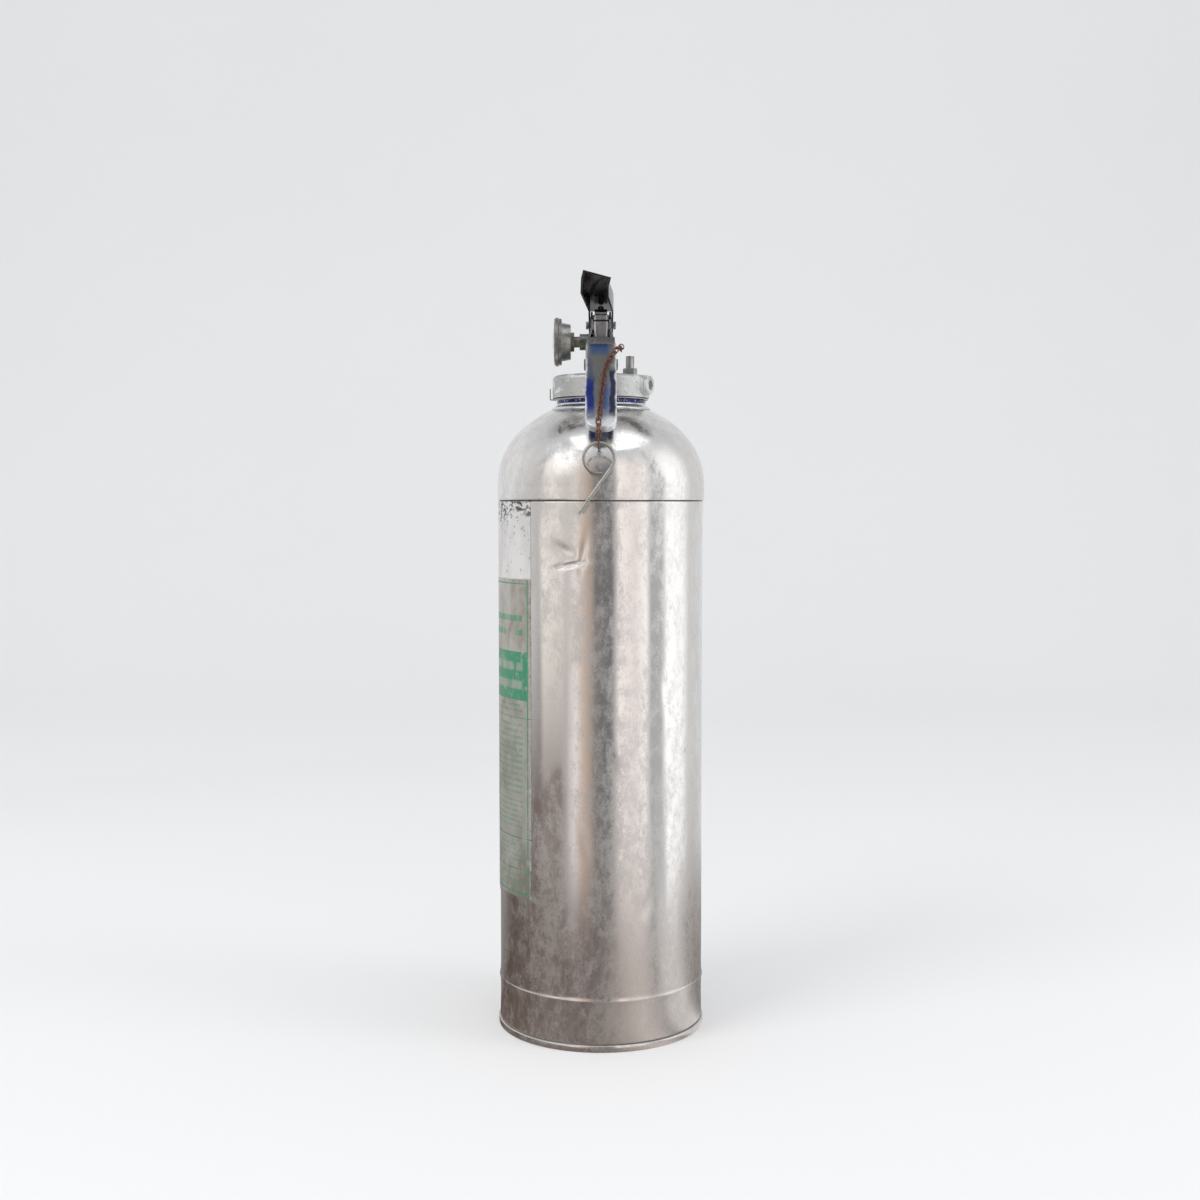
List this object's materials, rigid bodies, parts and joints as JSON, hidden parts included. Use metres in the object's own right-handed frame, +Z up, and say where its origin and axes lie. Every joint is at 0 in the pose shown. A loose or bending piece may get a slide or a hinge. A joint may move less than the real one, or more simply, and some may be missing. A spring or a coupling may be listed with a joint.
{
  "type": "stored-pressure water fire extinguisher",
  "caption": "Polished steel stored-pressure water extinguisher: domed tank, screwed cast head, squeeze lever, carry handle, gauge, charging valve and a chained pull pin.",
  "frame": {"origin": "centre of the circle the foot ring stands on, on the tank's axis", "axes": "+Z up along the tank's axis, -Y the way the carry handle and lever point, -X the way the gauge faces"},
  "size_m": [0.18, 0.1901, 0.6451],
  "materials": {
    "polished_steel": "polished stainless steel, scratched and dull in places",
    "cast_alloy": "matte cast aluminium with white corrosion",
    "chrome_plate": "bright chrome plate",
    "black_enamel": "glossy black enamel",
    "seal_rubber": "matte rubber",
    "brass_fitting": "dull brass",
    "steel_fitting": "grey plated steel",
    "gauge_glass": "clear moulded lens",
    "dial_face": "satin printed dial",
    "pointer_paint": "matte black",
    "rusty_wire": "rusted steel wire",
    "plated_wire": "dull plated wire",
    "label_foil": "printed foil, silver with green",
    "panel_film": "worn pale film"
  },
  "bodies": {
    "cylinder": {"tank_shell": "polished_steel", "foot_ring": "polished_steel", "bottom_head": "polished_steel", "top_dome": "polished_steel", "neck_ring": "chrome_plate", "instruction_label": "label_foil", "service_panel": "panel_film"},
    "gasket_carrier": {"collar_gasket": "seal_rubber"},
    "head": {"head_cap": "cast_alloy", "outlet_nipple": "cast_alloy", "valve_body": "chrome_plate", "packing_cap": "chrome_plate", "stem_packing": "seal_rubber", "siphon_adapter": "brass_fitting", "valve_spring": "steel_fitting", "siphon_tube": "steel_fitting", "siphon_strainer": "brass_fitting", "air_valve_body": "steel_fitting", "air_valve_nut": "steel_fitting", "gauge_stem": "brass_fitting", "gauge_case": "steel_fitting", "gauge_bezel": "chrome_plate", "gauge_lens": "gauge_glass", "gauge_dial": "dial_face", "bourdon_tube": "brass_fitting", "carry_handle": "chrome_plate", "handle_rivets": "steel_fitting", "lever_pin": "steel_fitting", "chain_eye": "plated_wire", "handle_chain": "rusty_wire", "seal_wire": "plated_wire"},
    "lever": {"lever": "black_enamel"},
    "stem": {"valve_stem": "steel_fitting", "poppet": "brass_fitting", "poppet_seal": "seal_rubber"},
    "pointer": {"gauge_pointer": "pointer_paint"},
    "air_core": {"air_valve_core": "brass_fitting"},
    "loose_chain": {"hanging_chain": "rusty_wire"},
    "pin": {"pull_pin": "plated_wire"}
  },
  "joints": [
    {"name": "head_lift", "type": "slide", "parent": "cylinder", "child": "gasket_carrier", "axis": [0, 0, 1], "range_m": [0, 0.00715]},
    {"name": "head_turn", "type": "hinge", "parent": "gasket_carrier", "child": "head", "pos_m": [0, 0, 0.56], "axis": [0, 0, 1], "range_deg": [0, 810]},
    {"name": "lever_squeeze", "type": "hinge", "parent": "head", "child": "lever", "pos_m": [0, 0.012, 0.611], "axis": [1, 0, 0], "range_deg": [0, 15], "stiffness_Nm_per_rad": 1.2, "springref_deg": -17.19},
    {"name": "stem_travel", "type": "slide", "parent": "head", "child": "stem", "axis": [0, 0, -1], "range_m": [0, 0.0034], "deforming": ["valve_spring"]},
    {"name": "pointer_sweep", "type": "hinge", "parent": "head", "child": "pointer", "pos_m": [-0.0367, -0.005, 0.595], "axis": [1, 0, 0], "range_deg": [0, 180], "stiffness_Nm_per_rad": 0.0005, "springref_deg": -11.46},
    {"name": "air_core_press", "type": "slide", "parent": "head", "child": "air_core", "axis": [0, 0, -1], "range_m": [0, 0.0015], "stiffness_N_per_m": 500, "springref_m": -0.001},
    {"name": "chain_swing", "type": "hinge", "parent": "head", "child": "loose_chain", "pos_m": [-0.002, -0.0975, 0.51495], "axis": [0, 1, 0], "range_deg": [-20, 45]},
    {"name": "pin_swing", "type": "hinge", "parent": "loose_chain", "child": "pin", "pos_m": [-0.002, -0.0975, 0.50535], "axis": [-1, 0, 0], "range_deg": [-3, 60]}
  ],
  "couplings": [
    {"joint": "head_lift", "follows": "head_turn", "m_per_rad": 0.00050532},
    {"joint": "stem_travel", "follows": "lever_squeeze", "m_per_rad": 0.0128}
  ]
}
